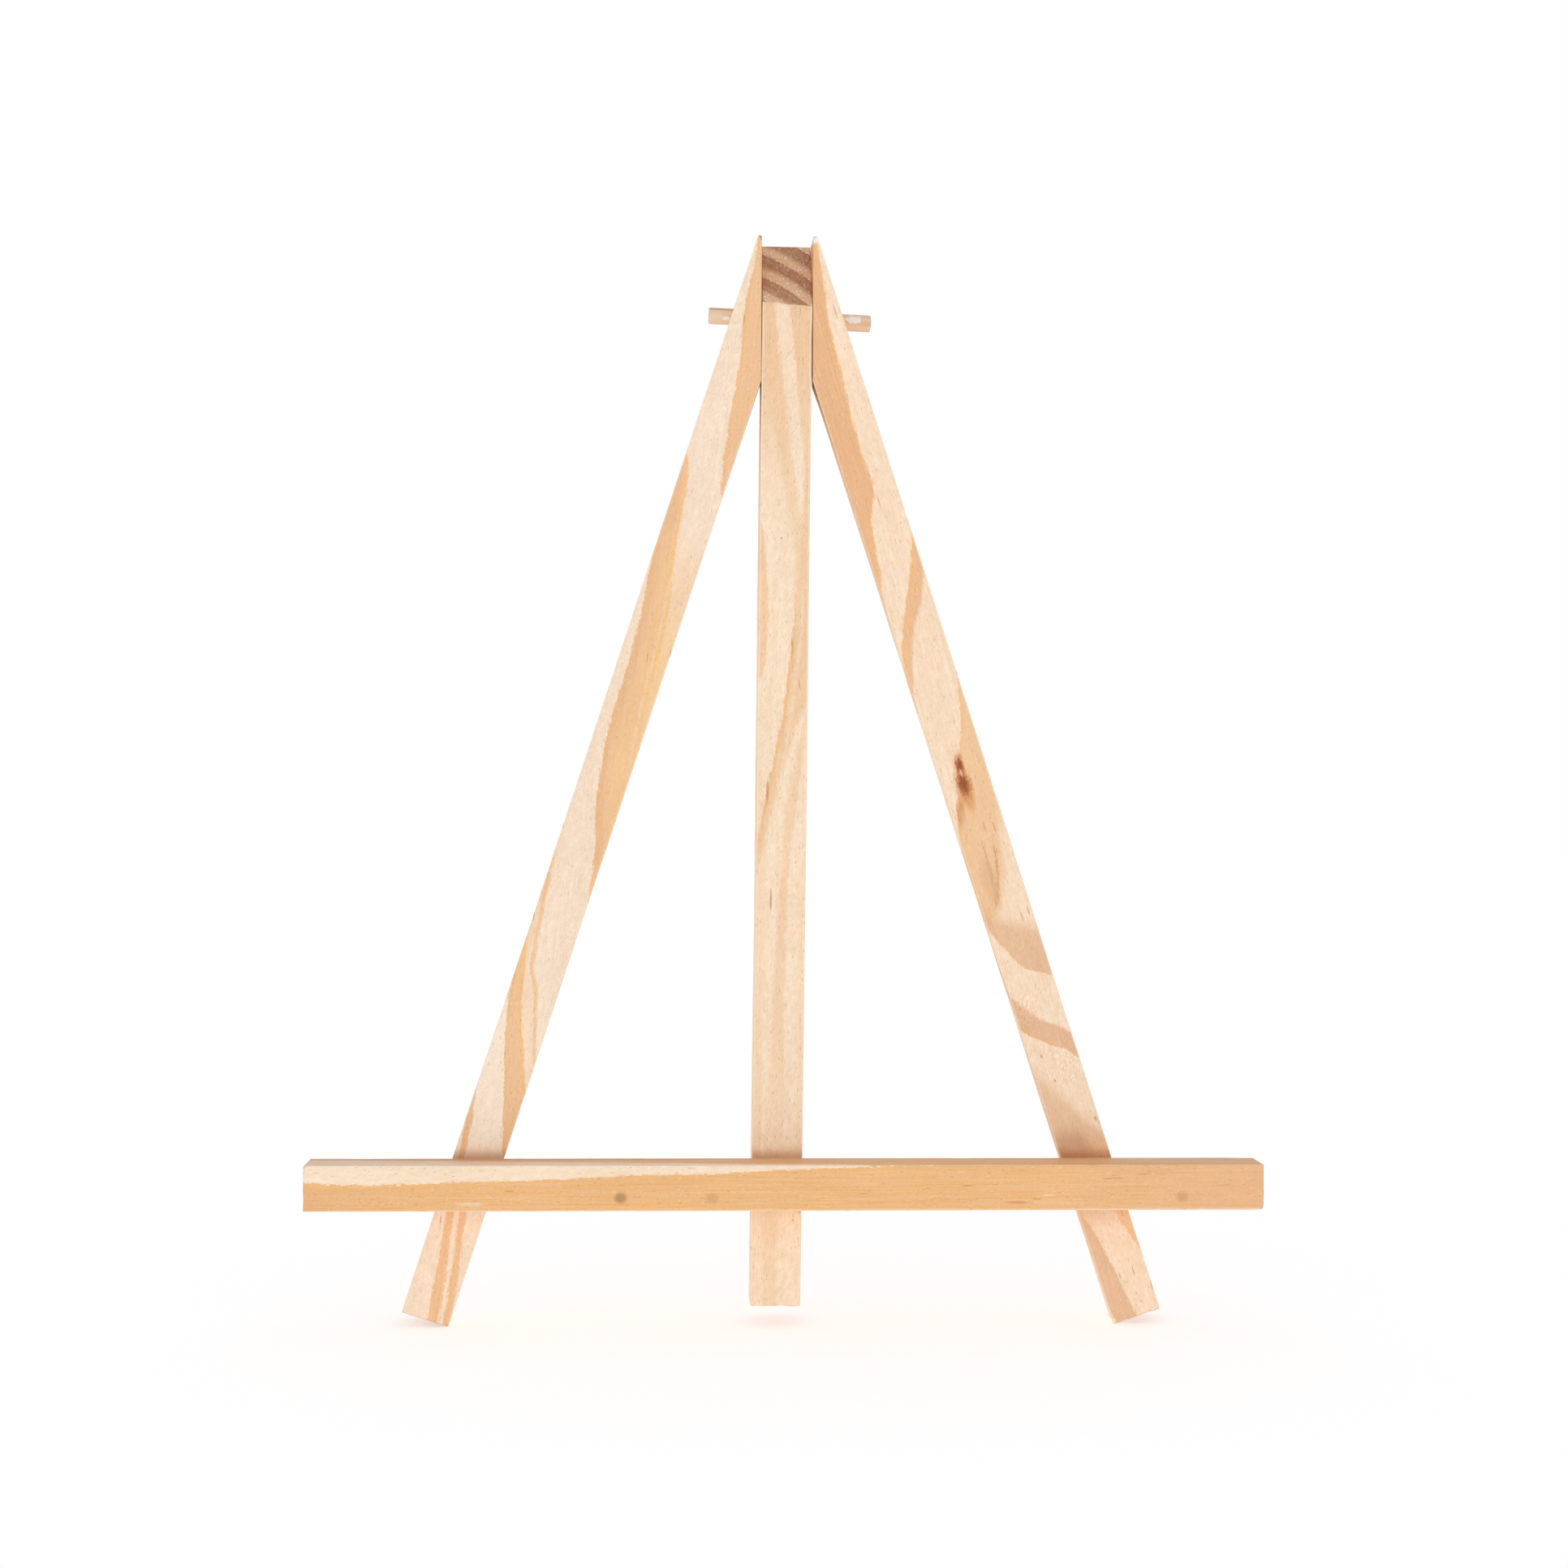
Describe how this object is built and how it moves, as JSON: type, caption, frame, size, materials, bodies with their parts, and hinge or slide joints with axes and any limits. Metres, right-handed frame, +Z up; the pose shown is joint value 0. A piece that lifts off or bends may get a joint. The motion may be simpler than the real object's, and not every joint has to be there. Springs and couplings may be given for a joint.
{
  "type": "artist easel",
  "caption": "Small folding wooden display easel: two splayed front legs with a ledge and a rear leg that swings back on a dowel at the top.",
  "frame": {"origin": "on the floor under the middle of the folded easel, between the feet of the front legs", "axes": "+Z up, +X to the right of someone facing the easel, +Y to the back, where the rear leg swings"},
  "size_m": [0.241, 0.0252, 0.28],
  "materials": {
    "front_left_leg": "raw planed pine",
    "front_right_leg": "raw planed pine",
    "rear_leg": "raw planed pine",
    "ledge": "raw planed pine",
    "dowel": "raw turned dowel",
    "brads": "bright wire"
  },
  "bodies": {
    "front_frame": {"front_left_leg": "front_left_leg", "front_right_leg": "front_right_leg", "ledge": "ledge", "pivot_dowel": "dowel", "ledge_brad_1": "brads", "ledge_brad_2": "brads", "ledge_brad_3": "brads", "ledge_brad_4": "brads"},
    "rear_leg": {"rear_leg": "rear_leg"}
  },
  "joints": [
    {"name": "rear_leg_swing", "type": "hinge", "parent": "front_frame", "child": "rear_leg", "pos_m": [0, 0.0064, 0.2595], "axis": [1, 0, 0], "range_deg": [0, 36]}
  ]
}
